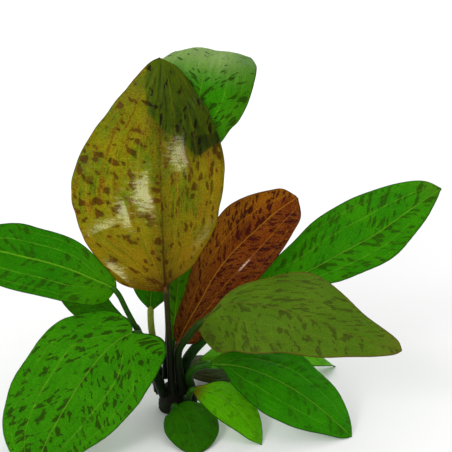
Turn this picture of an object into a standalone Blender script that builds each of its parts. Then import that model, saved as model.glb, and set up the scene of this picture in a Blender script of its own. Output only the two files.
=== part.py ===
"""A sword plant: a rosette of broad stalked leaves on a short stout rootstock.

Every leaf is one piece: a round stalk that widens into a thin blade. The plant stands on
the flat cut under its rootstock and on the tips of its low outer leaves. The origin is the
middle of that cut, +Z is up and -Y is the side that the plant is looked at from.
"""
import math

import bmesh
import bpy
from mathutils import Vector

MM = 0.001

# Driving dimensions, in millimetres
BLADE_THICKNESS = 1.1
TIP_HALF_WIDTH = 0.5
ROOTSTOCK_PROFILE = [(0.0, 0.0), (7.5, 0.0), (8.6, 2.5), (8.4, 7.0), (6.4, 11.5), (5.6, 14.5),
                     (4.6, 16.4), (0.0, 17.0)]
ROOTSTOCK_SIDES = 24

STALK_SWELL = 0.25
BLADE_ROOT_FADE = 8
LOBE_REACH = 0.35

# How finely a leaf is divided, and its faces shaded
ROUTE_STEPS = 16
SECTION_SIDES = 12
STALK_SECTIONS = 7
BLADE_SECTIONS = 15
SHARP_ANGLE = 50
SAME_PLACE = 0.01

# Colours, as red, green and blue
OLIVE = (0.23, 0.20, 0.02)
RED = (0.24, 0.04, 0.01)
GREEN = (0.03, 0.26, 0.01)
DARK_GREEN = (0.02, 0.13, 0.02)
PALE_GREEN = (0.10, 0.36, 0.02)
BROWN = (0.07, 0.05, 0.02)


def clear_scene():
    for old in list(bpy.data.objects):
        bpy.data.objects.remove(old, do_unlink=True)


def material(name, colour):
    made = bpy.data.materials.new(name)
    made.use_nodes = True
    shader = made.node_tree.nodes["Principled BSDF"]
    shader.inputs["Base Color"].default_value = (*colour, 1.0)
    shader.inputs["Roughness"].default_value = 0.4
    shader.inputs["Metallic"].default_value = 0.0
    return made


def finish_object(name, bm, colour):
    """Turn a closed bmesh in millimetres into a named object in metres."""
    bmesh.ops.scale(bm, vec=(MM, MM, MM), verts=bm.verts)
    bmesh.ops.recalc_face_normals(bm, faces=bm.faces)
    mesh = bpy.data.meshes.new(name)
    bm.to_mesh(mesh)
    bm.free()
    mesh.shade_smooth()
    mesh.set_sharp_from_angle(angle=math.radians(SHARP_ANGLE))
    mesh.materials.append(material(name, colour))
    made = bpy.data.objects.new(name, mesh)
    bpy.context.collection.objects.link(made)
    return made


def smooth_route(points):
    """Points close together on a Catmull-Rom curve through the route's own points."""
    points = [Vector(point) for point in points]
    ends = [2 * points[0] - points[1], *points, 2 * points[-1] - points[-2]]
    curve = []
    for before, start, end, after in zip(ends, ends[1:], ends[2:], ends[3:]):
        for step in range(ROUTE_STEPS):
            t = step / ROUTE_STEPS
            curve.append(0.5 * (2 * start + (end - before) * t
                                + (2 * before - 5 * start + 4 * end - after) * t ** 2
                                + (3 * start - before - 3 * end + after) * t ** 3))
    curve.append(points[-1])
    return curve


def place_on(curve, share):
    """The point and the direction at a share of a curve's length."""
    lengths = [0.0]
    for one, two in zip(curve, curve[1:]):
        lengths.append(lengths[-1] + (two - one).length)
    wanted = share * lengths[-1]
    span = 0
    while span < len(curve) - 2 and lengths[span + 1] < wanted:
        span += 1
    part = (wanted - lengths[span]) / (lengths[span + 1] - lengths[span])
    point = curve[span].lerp(curve[span + 1], part)
    back = curve[max(span - 1, 0)]
    ahead = curve[min(span + 2, len(curve) - 1)]
    return point, (ahead - back).normalized()


def half_width(outline, t):
    """Half-width of one side of a blade at a share t of its length.

    The outline's points are pairs of such a share and the half-width there, in order from
    the stalk to the tip, and the margin runs smoothly through them.
    """
    points = [(-outline[0][0], -outline[0][1]), (0.0, 0.0), *outline, (1.0, 0.0),
              (2.0 - outline[-1][0], -outline[-1][1])]
    span = 1
    while points[span + 1][0] < t:
        span += 1
    before, start, end, after = points[span - 1:span + 3]
    length = end[0] - start[0]
    slope_in = (end[1] - before[1]) / (end[0] - before[0]) * length
    slope_out = (after[1] - start[1]) / (after[0] - start[0]) * length
    s = (t - start[0]) / length
    width = ((2 * s ** 3 - 3 * s ** 2 + 1) * start[1] + (s ** 3 - 2 * s ** 2 + s) * slope_in
             + (3 * s ** 2 - 2 * s ** 3) * end[1] + (s ** 3 - s ** 2) * slope_out)
    return max(width, 0.0)


def sections(leaf):
    """Centre, frame and sizes of every section of a leaf, from its foot to its tip."""
    route = leaf["stalk"] + leaf["blade"]
    curve = smooth_route(route)
    first_of_blade = ROUTE_STEPS * len(leaf["stalk"])
    stalk_curve = curve[:first_of_blade + 1]
    blade_curve = curve[first_of_blade:]
    radius = leaf["stalk_width"] / 2
    rows = []
    for index in range(STALK_SECTIONS):
        share = index / STALK_SECTIONS
        point, along = place_on(stalk_curve, share)
        swell = 1 + STALK_SWELL * (1 - share) ** 2
        rows.append((point, along, 0.0, radius * swell, radius * swell, radius * swell))
    for index in range(BLADE_SECTIONS + 1):
        t = 0.5 - 0.5 * math.cos(math.pi * index / BLADE_SECTIONS)
        point, along = place_on(blade_curve, t)
        rib = max(radius * (1 - t), TIP_HALF_WIDTH)
        left = math.hypot(rib, half_width(leaf["left"], t))
        right = math.hypot(rib, half_width(leaf["right"], t))
        thin = BLADE_THICKNESS / 2
        depth = thin + max(radius - thin, 0) * (1 - t) ** BLADE_ROOT_FADE
        if index == BLADE_SECTIONS:
            depth = thin / 2
        rows.append((point, along, t, left, right, depth))
    return rows


def frame_at(leaf, along, t):
    """Unit vectors to the blade's right side and out of its face."""
    out = Vector(leaf["faces"]).normalized().lerp(Vector(leaf["tip_faces"]).normalized(), t)
    out = (out - along * out.dot(along)).normalized()
    return along.cross(out), out


def section_points(leaf, row):
    """The points around one section; a blade's two halves curl by leaf["edges"].

    At its root, the left and right lobes of a blade reach back past the stalk by
    leaf["lobes"].
    """
    point, along, t, left, right, depth = row
    side, out = frame_at(leaf, along, t)
    widest = max(width for share, width in leaf["left"] + leaf["right"])
    left_lobe, right_lobe = leaf.get("lobes", (0, 0))
    rooted = max(1 - t / LOBE_REACH, 0.0) ** 2 if t > 0 else 0.0
    points = []
    for index in range(SECTION_SIDES):
        angle = 2 * math.pi * index / SECTION_SIDES
        across = math.cos(angle)
        reach = right if across > 0 else left
        curl = leaf["edges"] * across ** 2 * reach / widest if t > 0 else 0.0
        lobe = (right_lobe if across > 0 else left_lobe) * across ** 2 * rooted
        points.append(point + side * across * reach - along * lobe
                      + out * (math.sin(angle) * depth + curl))
    return points


def build_leaf(name, leaf):
    """Loft one leaf through its sections and close it at the foot and the tip."""
    bm = bmesh.new()
    loops = []
    for row in sections(leaf):
        ring = bmesh.ops.create_circle(bm, segments=SECTION_SIDES, radius=1.0)["verts"]
        for vertex, place in zip(ring, section_points(leaf, row)):
            vertex.co = place
        around = zip(ring, ring[1:] + ring[:1])
        loops.append([bm.edges.get(pair) for pair in around])
    for one, two in zip(loops, loops[1:]):
        bmesh.ops.bridge_loops(bm, edges=one + two)
    bmesh.ops.edgeloop_fill(bm, edges=loops[0])
    bmesh.ops.edgeloop_fill(bm, edges=loops[-1])
    bmesh.ops.triangulate(bm, faces=bm.faces)
    return finish_object(name, bm, leaf["colour"])


def build_rootstock():
    """The short stem that all stalks grow from, turned, with its foot cut flat."""
    bm = bmesh.new()
    profile = [bm.verts.new((radius, 0.0, height)) for radius, height in ROOTSTOCK_PROFILE]
    edges = [bm.edges.new(pair) for pair in zip(profile, profile[1:])]
    bmesh.ops.spin(bm, geom=profile + edges, axis=(0, 0, 1), cent=(0, 0, 0),
                   angle=2 * math.pi, steps=ROOTSTOCK_SIDES, use_merge=True)
    bmesh.ops.remove_doubles(bm, verts=bm.verts, dist=SAME_PLACE)
    return finish_object("rootstock", bm, BROWN)


# Every leaf: its route in millimetres from the rootstock to the tip, the outline of its blade
# to the left and right as seen from the side it faces, how far the blade's edges stand out of
# that face and its root lobes reach back, and which way the face looks at the stalk and the tip
LEAVES = {
    # The tallest leaf, broad and olive, upright in front
    "leaf_olive_broad": dict(
        stalk=[(0.6, -8.6, 14), (-0.4, -8.4, 24), (-1, -9.5, 45), (-1.6, -11, 64)],
        blade=[(-2.2, -12, 78), (-3, -13, 96), (-3.6, -14, 124), (-4.3, -11.5, 154),
               (-4.1, -6.5, 183), (-3.5, 2, 206)],
        left=[(0.015, 17), (0.05, 27), (0.12, 34), (0.26, 45), (0.42, 50), (0.6, 43.5),
              (0.76, 28), (0.9, 14.5), (0.98, 6)],
        right=[(0.05, 3), (0.08, 12), (0.14, 19), (0.29, 29), (0.46, 34.5), (0.6, 35),
               (0.75, 29), (0.88, 18.5), (0.97, 9)],
        edges=-3, faces=(0, -1, 0.2), tip_faces=(0, -1, 0.4), stalk_width=3, colour=OLIVE),
    # Behind the broad one, its upper half bent away over the top
    "leaf_green_top": dict(
        stalk=[(-1.6, 2, 18.6), (-2, 1, 45), (-2, -3, 80), (2, -6, 115)],
        blade=[(15, -5, 154), (16, -3, 171), (17, 2, 186), (19, 10, 197.5),
               (21.6, 24, 203), (25, 41, 202), (28, 57, 194), (30, 70, 181)],
        left=[(0.05, 12), (0.18, 26), (0.3, 30), (0.43, 28), (0.6, 22), (0.8, 15),
              (0.93, 8)],
        right=[(0.05, 10), (0.11, 17), (0.2, 23), (0.32, 27), (0.45, 27.5), (0.6, 25),
               (0.8, 15), (0.93, 8)],
        edges=-2, faces=(0, -1, 0.2), tip_faces=(0, 0.3, 1), stalk_width=2.6, colour=GREEN),
    # The front left leaf, hanging to the ground
    "leaf_green_front_left": dict(
        stalk=[(-4.6, -7.4, 13), (-9, -12.5, 28), (-12.8, -15.2, 42), (-16, -16.2, 54.5)],
        blade=[(-21, -18.2, 56.4), (-28, -21.2, 54), (-34.6, -26, 49.8), (-42.5, -32, 42.3),
               (-51, -41, 32.3), (-58.4, -52, 22.4), (-65, -63.5, 13), (-71, -76.5, 0.3)],
        left=[(0.01, 11), (0.03, 23), (0.1, 32.5), (0.2, 35), (0.38, 35), (0.6, 31),
              (0.8, 21), (0.94, 9)],
        right=[(0.03, 13), (0.12, 27), (0.25, 36), (0.42, 38), (0.6, 36), (0.75, 31),
               (0.88, 20), (0.96, 10)],
        edges=-2, lobes=(14, 3), faces=(-0.2, -0.75, 0.65), tip_faces=(0, -0.2, 1),
        stalk_width=4, colour=GREEN),
    # A narrow inner leaf between the broad one and the red one
    "leaf_green_inner": dict(
        stalk=[(1.5, 8.4, 13), (0.4, 8.7, 22)],
        blade=[(0.2, 12, 38), (1.5, 15, 54), (3.3, 18, 70), (5.7, 21, 90),
               (9.2, 25, 110), (13.2, 30, 129)],
        left=[(0.1, 3), (0.25, 7), (0.45, 13), (0.65, 14), (0.85, 8)],
        right=[(0.1, 4), (0.2, 6), (0.32, 8), (0.45, 10), (0.55, 12), (0.7, 12),
               (0.88, 6)],
        edges=2, faces=(0, -1, 0.2), tip_faces=(0, -1, 0.2), stalk_width=3.4, colour=GREEN),
    # The red leaf
    "leaf_red": dict(
        stalk=[(3.8, 0.3, 18.6), (2.9, 0.8, 29)],
        blade=[(3.5, 2, 40), (9.3, 3, 53.4), (16.1, 4, 65.3), (24.1, 6, 80.3),
               (34.7, 8, 94), (47.6, 11, 106), (58.1, 13, 115.4), (70.4, 15, 124)],
        left=[(0.05, 5), (0.25, 10), (0.45, 14.5), (0.66, 20.5), (0.8, 18.5), (0.92, 11.5),
              (0.97, 8)],
        right=[(0.03, 8), (0.07, 10.5), (0.15, 12), (0.25, 13.5), (0.5, 20),
               (0.63, 20.5), (0.8, 17), (0.92, 13),
               (0.97, 9)],
        edges=3, faces=(0.1, -0.95, 0.3), tip_faces=(0.1, -0.95, 0.3), stalk_width=3,
        colour=RED),
    # The long leaf at the right
    "leaf_green_right": dict(
        stalk=[(9, 2.6, 13.5), (9.2, 3.9, 24.5), (13.6, 5.4, 35), (21, 7.2, 43.4),
               (30.2, 9.2, 52)],
        blade=[(38.8, 12, 60.6), (53, 15, 68.6), (80, 19, 79.3), (98.7, 22, 89.2),
               (116.4, 25, 98.4), (132.8, 28, 110), (153, 31, 124)],
        left=[(0.1, 7), (0.2, 13), (0.3, 18.5), (0.43, 24), (0.57, 26), (0.69, 25),
              (0.8, 20.5), (0.9, 14.5), (0.97, 8)],
        right=[(0.15, 5), (0.39, 14), (0.5, 18), (0.64, 19), (0.75, 17), (0.88, 10),
               (0.96, 4.5)],
        edges=4, faces=(-0.3, -0.7, 0.65), tip_faces=(-0.3, -0.7, 0.65), stalk_width=5,
        colour=GREEN),
    # The olive-green leaf that crosses in front at the right
    "leaf_olive_right": dict(
        stalk=[(6.4, -6.3, 13.2), (4.6, -7.4, 25), (4, -8.4, 40), (9, -10, 49.4)],
        blade=[(15.8, -12, 59), (28.6, -17, 72), (41.7, -22, 76.4), (60.5, -29, 75.3),
               (78.5, -35, 71.5), (93.8, -40, 66.7), (110, -45, 63), (124, -49, 60.3)],
        left=[(0.06, 1), (0.14, 3), (0.23, 10), (0.38, 21), (0.48, 27), (0.56, 27),
              (0.67, 21), (0.8, 14.5), (0.92, 8), (0.98, 4)],
        right=[(0.01, 13), (0.03, 19), (0.1, 24), (0.27, 28), (0.38, 28), (0.5, 23.5),
               (0.65, 19.5), (0.8, 12), (0.93, 6), (0.98, 3)],
        edges=-2, lobes=(0, 4), faces=(0.1, -0.7, 0.7), tip_faces=(0.1, -0.7, 0.7),
        stalk_width=4,
        colour=OLIVE),
    # The leaf at the left
    "leaf_green_left": dict(
        stalk=[(-8.4, -2.4, 13), (-10, -5.5, 28), (-14.6, -8.4, 44), (-23.4, -12, 65.5)],
        blade=[(-30, -14, 80), (-40.4, -18, 87.7), (-50.8, -21, 94), (-63.7, -24, 100),
               (-76.3, -28, 105), (-89, -31, 109.6), (-103, -34, 113), (-117, -36, 115)],
        left=[(0.015, 9), (0.08, 13), (0.16, 15.5), (0.3, 18), (0.5, 18.5), (0.7, 17.5), (0.87, 10),
              (0.96, 4.5)],
        right=[(0.04, 5), (0.15, 10), (0.3, 15.5), (0.48, 17.5), (0.65, 17), (0.85, 11),
               (0.95, 4)],
        edges=-2, faces=(-0.1, -0.95, 0.35), tip_faces=(-0.1, -0.7, 0.7), stalk_width=3,
        colour=GREEN),
    # The leaf behind the left one
    "leaf_green_rear_left": dict(
        stalk=[(-8, 7.4, 6), (-12.5, 11, 18), (-17, 14, 34)],
        blade=[(-20.5, 15.5, 45), (-30, 17, 52), (-45, 22, 58.5), (-60, 28, 68),
               (-73, 34, 77)],
        left=[(0.04, 5), (0.15, 10), (0.35, 14), (0.6, 13), (0.85, 7)],
        right=[(0.2, 1), (0.3, 3), (0.4, 7), (0.55, 10.5), (0.7, 10), (0.87, 6)],
        edges=-2, faces=(-0.2, -0.6, 0.75), tip_faces=(-0.2, -0.6, 0.75), stalk_width=3.4,
        colour=DARK_GREEN),
    # The low leaf at the front right
    "leaf_green_front_right": dict(
        stalk=[(11.4, -3.2, 7), (12.2, -5.8, 17), (12.6, -8.4, 25.5), (15, -9.8, 31)],
        blade=[(19.8, -10.8, 33.4), (27.4, -13, 34.8), (36.4, -16, 35.4), (45.3, -19, 34.6),
               (57.4, -23, 31), (68.5, -26, 25.8), (79.6, -28, 18.2), (91, -31, 9),
               (101, -34, 0.3)],
        left=[(0.05, 5), (0.2, 13), (0.35, 20), (0.5, 23), (0.62, 22.5), (0.75, 19.5),
              (0.88, 13.5), (0.96, 7)],
        right=[(0.1, 2.5), (0.15, 7.5), (0.22, 14), (0.45, 22), (0.6, 22), (0.75, 17),
               (0.88, 10), (0.96, 5)],
        edges=-2, faces=(0.2, -0.6, 0.78), tip_faces=(0.3, -0.45, 0.82), stalk_width=4.4,
        colour=GREEN),
    # The pale low leaf in front
    "leaf_pale_front": dict(
        stalk=[(7.8, -9, 6)],
        blade=[(11.6, -13.4, 18.8), (19, -18, 21.2), (30.5, -24, 18.8), (41.5, -33, 10.8),
               (50.5, -43, 0.3)],
        left=[(0.05, 1.5), (0.13, 3.5), (0.2, 7.5), (0.3, 11.5), (0.5, 13), (0.7, 11), (0.88, 6)],
        right=[(0.05, 3), (0.2, 9), (0.4, 13), (0.65, 12), (0.88, 6)],
        edges=-1, faces=(0.2, -0.6, 0.8), tip_faces=(0.4, -0.3, 0.85), stalk_width=3.6,
        colour=PALE_GREEN),
    # The dark low leaf in front
    "leaf_dark_front": dict(
        stalk=[(1.6, -11.2, 6)],
        blade=[(2, -16.4, 10.4), (5.2, -22, 10.8), (10.3, -34, 7.5), (15.6, -54, 0.45)],
        left=[(0.03, 4), (0.1, 9), (0.18, 14), (0.3, 17), (0.6, 16), (0.85, 9)],
        right=[(0.05, 5), (0.15, 9), (0.3, 12.5), (0.55, 14), (0.8, 10), (0.94, 5)],
        edges=-1, faces=(0.1, -0.6, 0.8), tip_faces=(0.1, -0.2, 1), stalk_width=3.6,
        colour=DARK_GREEN),
    # The pale leaf behind the front right one
    "leaf_pale_rear_right": dict(
        stalk=[(7.6, 8.6, 6), (9.6, 10.6, 15)],
        blade=[(15, 12, 22), (26.2, 16, 25.8), (45, 24, 26), (66, 36, 21), (84.7, 47, 12.4),
               (98.3, 56, 0.3)],
        left=[(0.05, 5), (0.15, 10), (0.35, 15), (0.55, 15), (0.75, 11), (0.9, 6)],
        right=[(0.05, 5), (0.15, 10), (0.35, 15), (0.55, 15), (0.75, 11), (0.9, 6)],
        edges=-2, faces=(0.1, -0.4, 0.9), tip_faces=(0.3, 0, 0.95), stalk_width=3.4,
        colour=PALE_GREEN),
    # The leaf that leans away behind the broad one
    "leaf_green_behind": dict(
        stalk=[(-7.2, 5.6, 12.5), (-9.5, 9.5, 30), (-12, 13, 44)],
        blade=[(-12.6, 16, 54.5), (-12.5, 22, 65), (-11, 32, 76.6), (-8, 46, 90),
               (-5, 62, 98), (-3, 80, 100), (-2, 96, 94)],
        left=[(0.03, 3), (0.06, 6), (0.11, 9.5), (0.3, 19), (0.5, 22), (0.75, 17), (0.93, 7)],
        right=[(0.03, 4), (0.06, 8), (0.1, 12), (0.3, 19), (0.5, 21), (0.75, 16), (0.93, 7)],
        edges=-2, faces=(0, -0.9, 0.4), tip_faces=(0, 0.2, 1), stalk_width=3.8,
        colour=GREEN),
    # The low leaf at the back
    "leaf_green_rear": dict(
        stalk=[(1, 11.4, 6), (3, 18.5, 9.5)],
        blade=[(6.5, 24, 10), (14, 33, 10), (25, 43, 8.5), (37, 52, 5.5), (48, 60, 0.3)],
        left=[(0.05, 4), (0.2, 10), (0.45, 14), (0.7, 13), (0.9, 6)],
        right=[(0.05, 6), (0.2, 14), (0.45, 19), (0.7, 16), (0.9, 7)],
        edges=-2, faces=(0.1, -0.3, 1), tip_faces=(0.2, 0.2, 1), stalk_width=3.6,
        colour=GREEN),
}


if __name__ == "__main__":
    clear_scene()
    build_rootstock()
    for leaf_name, leaf_sizes in LEAVES.items():
        build_leaf(leaf_name, leaf_sizes)
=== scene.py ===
import math
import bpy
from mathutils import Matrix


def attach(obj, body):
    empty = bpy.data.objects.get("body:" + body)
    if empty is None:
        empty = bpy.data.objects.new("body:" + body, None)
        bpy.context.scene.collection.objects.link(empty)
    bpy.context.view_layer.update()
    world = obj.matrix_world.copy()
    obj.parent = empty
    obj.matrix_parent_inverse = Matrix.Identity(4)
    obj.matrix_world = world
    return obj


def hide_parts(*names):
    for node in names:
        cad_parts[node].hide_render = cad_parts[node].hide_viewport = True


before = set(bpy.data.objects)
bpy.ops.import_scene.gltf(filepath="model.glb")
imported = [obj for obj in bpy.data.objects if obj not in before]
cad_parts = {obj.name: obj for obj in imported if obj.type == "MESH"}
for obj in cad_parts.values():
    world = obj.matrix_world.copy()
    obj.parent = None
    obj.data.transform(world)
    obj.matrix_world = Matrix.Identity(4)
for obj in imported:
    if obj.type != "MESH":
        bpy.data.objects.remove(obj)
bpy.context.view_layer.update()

from types import SimpleNamespace

import bmesh
import bpy
import numpy as np
from mathutils import Vector, noise

MM = 0.001


# The rootstock
# The short stout stem that every stalk grows from. It is living tissue, brown and green,
# ringed by the scars of old leaves, and its foot is cut flat. Sizes are in mm.
CUT_RADIUS = 7.5
ROOTSTOCK_RINGS = [(8.1, 0.4), (8.6, 2.5), (8.4, 7.0), (6.4, 11.5), (5.6, 14.5), (4.6, 16.4)]
CROWN_INSET = 2.0
CROWN_RISE = 0.5
ROOTSTOCK_SMOOTHING = 3
SCAR_SPACING = 2.3
SCAR_LEAN = 0.08
SCAR_DEPTH = 0.45
LUMP_SIZE = 3.5
LUMP_DEPTH = 0.7
UNWORN_HEIGHT = 0.3
UNWORN_RADIUS = 0.5


def ink(red, green, blue):
    """A colour given as it is seen on a screen, from 0 to 255, as a shader takes it."""
    seen = [part / 255 for part in (red, green, blue)]
    return (*[part / 12.92 if part < 0.04045 else ((part + 0.055) / 1.055) ** 2.4
              for part in seen], 1.0)


class Paint:
    """One material, with its nodes added from the pattern to the surface."""

    def __init__(self, name):
        self.material = bpy.data.materials.new(name)
        self.material.use_nodes = True
        self.tree = self.material.node_tree
        self.tree.nodes.clear()

    def feed(self, socket, value):
        """Link a socket to another node's socket, or set it to a plain value."""
        if isinstance(value, bpy.types.NodeSocket):
            self.tree.links.new(value, socket)
        else:
            socket.default_value = value

    def add(self, kind, inputs=None, **settings):
        node = self.tree.nodes.new("ShaderNode" + kind)
        for setting, value in settings.items():
            setattr(node, setting, value)
        for socket, value in (inputs or {}).items():
            self.feed(node.inputs[socket], value)
        return node

    def maths(self, operation, *values):
        return self.add("Math", dict(enumerate(values)), operation=operation).outputs[0]

    def times(self, one, two):
        return self.maths("MULTIPLY", one, two)

    def plus(self, one, two):
        return self.maths("ADD", one, two)

    def scaled(self, value, factor, base):
        """The value times the factor, plus the base."""
        return self.maths("MULTIPLY_ADD", value, factor, base)

    def step(self, value, low, high):
        """0 at low and 1 at high, smooth between them, whichever of the two is larger."""
        node = self.add("MapRange", {"Value": value, "From Min": low, "From Max": high},
                        interpolation_type="SMOOTHSTEP")
        return node.outputs["Result"]

    def mix(self, share, under, over):
        node = self.add("Mix", data_type="RGBA")
        for index, value in ((0, share), (6, under), (7, over)):
            self.feed(node.inputs[index], value)
        return node.outputs[2]

    def lay(self, under, over, where, strength):
        """A colour laid over another where a pattern is 1, and as strongly as is said."""
        return self.mix(self.times(where, strength), under, over)

    def place(self, across, along):
        return self.add("CombineXYZ", {"X": across, "Y": along}).outputs[0]

    def grain(self, place, scale, detail=2.0, roughness=0.5):
        node = self.add("TexNoise", {"Vector": place, "Scale": scale, "Detail": detail,
                                     "Roughness": roughness})
        return node.outputs["Fac"]

    def bump(self, height, strength, depth_mm):
        return self.add("Bump", {"Height": height, "Strength": strength,
                                 "Distance": depth_mm * MM}).outputs[0]

    def finish(self, shader):
        self.add("OutputMaterial", {"Surface": shader.outputs[0]})
        return self.material


def stem_skin():
    """Near-black brown bark-like skin over green, paler and drier in fine fibres; its darkness is
    partly its own and partly painted shade of the crown.
    """
    paint = Paint("stem skin")
    place = paint.add("TexCoord").outputs["Object"]
    patches = paint.grain(place, 260.0, 4.0)
    fibres = paint.grain(place, 1500.0, 3.0, 0.7)
    # Partly painted shade: the brown and the green are darkened to near black, as the crown lies
    # in shade
    colour = paint.mix(paint.step(patches, 0.4, 0.62), ink(20, 16, 6), ink(18, 30, 5))
    colour = paint.mix(paint.step(fibres, 0.55, 0.85), colour, ink(64, 50, 22))
    shader = paint.add("BsdfPrincipled", {
        "Base Color": colour, "Roughness": 0.62, "Specular IOR Level": 0.15,
        "Normal": paint.bump(fibres, 0.7, 0.25)})
    return paint.finish(shader)


def select(*things):
    """Select only these, or nothing, with the last of them active."""
    bpy.ops.object.select_all(action="DESELECT")
    for thing in things:
        thing.select_set(True)
        bpy.context.view_layer.objects.active = thing


def start_piece(name):
    """The object that was just added, under its own name."""
    piece = bpy.context.object
    piece.name = name
    piece.data.name = name
    return piece


def round_off(piece, levels):
    """Subdivide a piece's cage into a smooth mesh."""
    rounding = piece.modifiers.new("rounding", "SUBSURF")
    rounding.levels = rounding.render_levels = levels
    bpy.ops.object.modifier_apply(modifier=rounding.name)


select()
bpy.ops.mesh.primitive_circle_add(vertices=32, radius=CUT_RADIUS * MM, fill_type="NGON")
rootstock = start_piece("stem_base")
bpy.ops.object.mode_set(mode="EDIT")
ring_radius, ring_height = CUT_RADIUS, 0.0
for radius, height in ROOTSTOCK_RINGS:
    bpy.ops.mesh.extrude_region_move(
        TRANSFORM_OT_translate={"value": (0.0, 0.0, (height - ring_height) * MM)})
    grown = radius / ring_radius
    bpy.ops.transform.resize(value=(grown, grown, 1.0), center_override=(0, 0, height * MM))
    ring_radius, ring_height = radius, height
bpy.ops.mesh.inset(thickness=CROWN_INSET * MM, depth=CROWN_RISE * MM)
bpy.ops.mesh.select_all(action="SELECT")
bpy.ops.mesh.normals_make_consistent(inside=False)
bpy.ops.object.mode_set(mode="OBJECT")
round_off(rootstock, ROOTSTOCK_SMOOTHING)
for vertex in rootstock.data.vertices:
    place = vertex.co / MM
    turn = Vector((place.x, place.y, 0.0))
    if place.z > UNWORN_HEIGHT and turn.length > UNWORN_RADIUS:
        scar = abs(math.sin(math.pi * (place.z + SCAR_LEAN * turn.x) / SCAR_SPACING)) ** 0.5
        lump = 0.5 + 0.5 * noise.noise(place / LUMP_SIZE)
        inward = SCAR_DEPTH * (1 - scar) + LUMP_DEPTH * lump
        vertex.co -= turn.normalized() * inward * MM
bpy.ops.object.shade_smooth()
rootstock.data.materials.append(stem_skin())
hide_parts("rootstock")
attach(rootstock, "root")


# The broad olive leaf
# The tallest leaf, upright in front. A thin living blade on a dark round stalk: the stalk runs
# on behind the blade as its midrib, and main veins arch on both sides from its foot to its tip.
# Sizes are in mm. Shares run along the blade, from 0 at its foot to 1 at its tip.
ROUTE_STEPS = 16
COLUMNS = 16
ROWS = 34
LEAST_WIDTH = 0.35
LOBE_REACH = 0.35
LOBE_WIDTH = 4.0
NOTCH_PACE = 0.9
WIDTH_STEPS = 400
VEIN_FAN = 0.3
VEIN_FAN_REACH = 0.3
GROOVE_WIDTH = 0.9
SIDE_GROOVE = 0.6
LEVEL_MIDDLE = 5.0
RISE_FROM_FOOT = 12
FALL_TO_TIP = 8
MARGINS_APART = 1.9
UNEVEN_SEED = 7.3
STALK_STEPS = 36
STALK_SIDES = 5
SHEATH_SWELL = 0.45
RIB_STEPS = 60
RIB_CROWDING = 1.5
RIB_END = 0.97
RIB_SHARE = 0.3
RIB_NARROWS_BY = 0.1
RIB_TAPER = 0.8
RIB_RADIUS = 0.22
RIB_SINKS_BY = 0.03
RIB_COVER = 0.22
SMOOTH_ANGLE = 60
SEEDS_APART = 37.0
HALVES_APART = 97.0
NET_SWAY = 3.0
WALL_SHARE = 0.5
BROAD = dict(
    stalk=[(0.6, -8.6, 14), (-0.4, -8.4, 24), (-1, -9.5, 45), (-1.6, -11, 64)],
    blade=[(-2.2, -12, 78), (-3, -13, 96), (-3.6, -14, 124), (-4.3, -11.5, 154),
           (-4.1, -6.5, 183), (-3.5, 2, 206)],
    left=[(0.015, 17), (0.05, 27), (0.12, 34), (0.26, 45), (0.42, 50), (0.6, 45), (0.76, 30.5),
          (0.9, 16), (0.98, 6)],
    right=[(0.05, 3), (0.08, 12), (0.14, 19), (0.29, 29), (0.46, 34.5), (0.6, 35), (0.75, 29),
           (0.88, 18.5), (0.97, 9)],
    edges=-3, lobes=(0, 0), faces=(0, -1, 0.2), tip_faces=(0, -1, 0.4), stalk_width=3, tuck=0,
    thickness=0.45, smoothing=3, seed=1.0, veins=(0.26, 0.56, 0.82), groove=0.12,
    quilt=0.1, quilt_spacing=5.5, slant=0.55, wave=0.9, wave_length=34, uneven=1.5,
    uneven_size=17, fold=0.0, ruffle=0.06, steady=0.0, swellings=())


def smooth_route(points):
    """Points close together on a Catmull-Rom curve through the route's own points."""
    points = [Vector(point) for point in points]
    ends = [2 * points[0] - points[1], *points, 2 * points[-1] - points[-2]]
    curve = []
    for before, start, end, after in zip(ends, ends[1:], ends[2:], ends[3:]):
        for step in range(ROUTE_STEPS):
            t = step / ROUTE_STEPS
            curve.append(0.5 * (2 * start + (end - before) * t
                                + (2 * before - 5 * start + 4 * end - after) * t ** 2
                                + (3 * start - before - 3 * end + after) * t ** 3))
    curve.append(points[-1])
    return curve


def leaf_lines(leaf):
    """The middle line of the stalk and that of the blade."""
    curve = smooth_route(leaf["stalk"] + leaf["blade"])
    first_of_blade = ROUTE_STEPS * len(leaf["stalk"])
    return curve[:first_of_blade + 1], curve[first_of_blade:]


def line_length(curve):
    return sum((two - one).length for one, two in zip(curve, curve[1:]))


def place_on(curve, share):
    """The point and the direction at a share of a curve's length."""
    lengths = [0.0]
    for one, two in zip(curve, curve[1:]):
        lengths.append(lengths[-1] + (two - one).length)
    wanted = share * lengths[-1]
    span = 0
    while span < len(curve) - 2 and lengths[span + 1] < wanted:
        span += 1
    part = (wanted - lengths[span]) / (lengths[span + 1] - lengths[span])
    point = curve[span].lerp(curve[span + 1], part)
    back = curve[max(span - 1, 0)]
    ahead = curve[min(span + 2, len(curve) - 1)]
    return point, (ahead - back).normalized()


def facing(leaf, along, t):
    """The way that the blade's face looks at a share t of its length."""
    tip_faces = leaf["tip_faces"] or leaf["faces"]
    out = Vector(leaf["faces"]).normalized().lerp(Vector(tip_faces).normalized(), t)
    return (out - along * out.dot(along)).normalized()


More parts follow.
